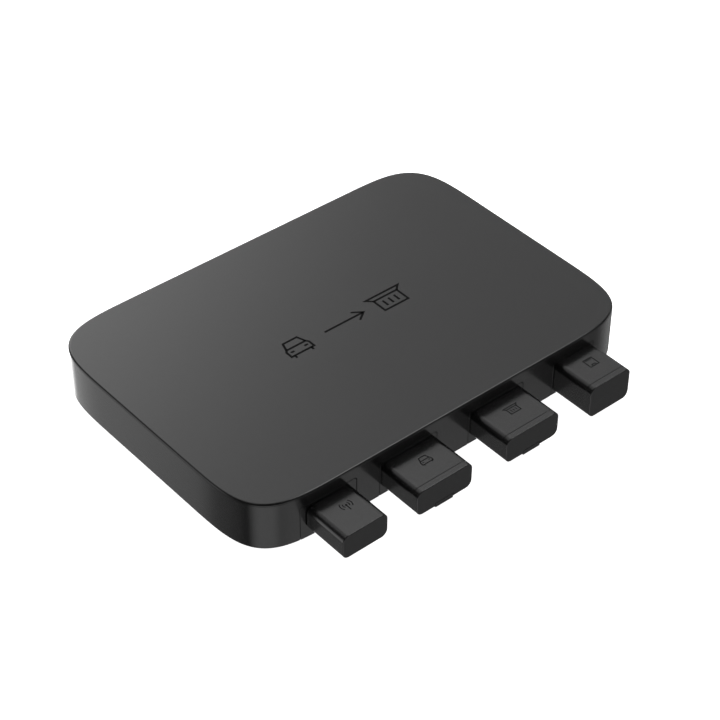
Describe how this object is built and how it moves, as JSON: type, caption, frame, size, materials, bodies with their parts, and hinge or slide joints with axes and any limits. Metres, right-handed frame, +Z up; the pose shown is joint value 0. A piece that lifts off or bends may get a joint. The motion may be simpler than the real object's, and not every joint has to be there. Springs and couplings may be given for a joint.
{
  "type": "vehicle battery charger",
  "caption": "Flat sealed aluminium vehicle-to-power-station charger with squircle corners and capped connector ports along its front edge.",
  "frame": {"origin": "middle of the four mounting holes, on the casing's underside", "axes": "+X along the casing's long side, -Y towards the port side, +Z up out of the cover"},
  "size_m": [0.293, 0.2351, 0.036],
  "materials": {
    "casing_metal": "satin dark grey anodised coating, faintly grained",
    "bezel_plastic": "semi-gloss black moulding",
    "socket_plastic": "matt black moulding",
    "cap_plastic": "satin dark grey moulding, finely textured",
    "insert_plastic": "matt black moulding",
    "seal_rubber": "matt red-brown silicone",
    "black_rubber": "matt black rubber",
    "contact_brass": "plain brass, lightly polished",
    "black_steel": "blackened steel",
    "bright_steel": "zinc plated steel",
    "copper": "bare and enamelled copper",
    "circuit_board": "green solder mask",
    "ferrite": "dark grey sintered ferrite",
    "component_case": "matt sleeved or moulded parts",
    "plain_aluminium": "sawn and milled",
    "thermal_rubber": "soft grey-blue gap pad"
  },
  "bodies": {
    "casing": {"side_frame": "casing_metal", "bottom_plate": "casing_metal", "top_cover": "casing_metal", "cover_gasket": "black_rubber", "cover_screws": "black_steel", "rubber_feet": "black_rubber", "mount_inserts": "contact_brass", "antenna_bezel": "bezel_plastic", "vehicle_bezel": "bezel_plastic", "station_bezel": "bezel_plastic", "comms_bezel": "bezel_plastic", "antenna_socket": "socket_plastic", "vehicle_socket": "socket_plastic", "station_socket": "socket_plastic", "comms_socket": "socket_plastic", "antenna_barrel": "contact_brass", "antenna_nut": "contact_brass", "vehicle_pins": "contact_brass", "station_pins": "contact_brass", "comms_contacts": "contact_brass", "main_board": "circuit_board", "board_screws": "bright_steel", "control_board": "circuit_board", "board_headers": "socket_plastic", "transformer_cores": "ferrite", "transformer_windings": "copper", "choke_cores": "ferrite", "choke_windings": "copper", "input_capacitors": "component_case", "output_capacitors": "component_case", "transistors": "component_case", "heat_spreader": "plain_aluminium", "thermal_pad": "thermal_rubber", "transistor_clamp": "bright_steel", "clamp_screws": "bright_steel", "vehicle_busbars": "copper", "station_busbars": "copper", "input_fuse": "component_case", "current_shunt": "copper", "antenna_lead": "black_rubber"},
    "antenna_cap": {"antenna_cap_shell": "cap_plastic", "antenna_cap_insert": "insert_plastic", "antenna_cap_seal": "seal_rubber", "antenna_element": "circuit_board"},
    "vehicle_cap": {"vehicle_cap_shell": "cap_plastic", "vehicle_cap_end": "cap_plastic", "vehicle_cap_insert": "insert_plastic", "vehicle_cap_seal": "seal_rubber", "vehicle_latch_pin": "bright_steel"},
    "station_cap": {"station_cap_shell": "cap_plastic", "station_cap_end": "cap_plastic", "station_cap_insert": "insert_plastic", "station_cap_seal": "seal_rubber", "station_latch_pin": "bright_steel"},
    "comms_cap": {"comms_cap_shell": "cap_plastic", "comms_cap_end": "cap_plastic", "comms_cap_insert": "insert_plastic", "comms_cap_seal": "seal_rubber"},
    "vehicle_latch": {"vehicle_latch": "cap_plastic"},
    "station_latch": {"station_latch": "cap_plastic"}
  },
  "joints": [
    {"name": "antenna_cap_slide", "type": "slide", "parent": "casing", "child": "antenna_cap", "axis": [0, -1, 0], "range_m": [0, 0.02]},
    {"name": "vehicle_cap_slide", "type": "slide", "parent": "casing", "child": "vehicle_cap", "axis": [0, -1, 0], "range_m": [0, 0.02]},
    {"name": "station_cap_slide", "type": "slide", "parent": "casing", "child": "station_cap", "axis": [0, -1, 0], "range_m": [0, 0.02]},
    {"name": "comms_cap_slide", "type": "slide", "parent": "casing", "child": "comms_cap", "axis": [0, -1, 0], "range_m": [0, 0.02]},
    {"name": "vehicle_latch_pull", "type": "hinge", "parent": "vehicle_cap", "child": "vehicle_latch", "pos_m": [-0.0371, -0.114, 0.0094], "axis": [1, 0, 0], "range_deg": [0, 3.5], "stiffness_Nm_per_rad": 0.4},
    {"name": "station_latch_pull", "type": "hinge", "parent": "station_cap", "child": "station_latch", "pos_m": [0.0309, -0.114, 0.0094], "axis": [1, 0, 0], "range_deg": [0, 3.5], "stiffness_Nm_per_rad": 0.4}
  ]
}
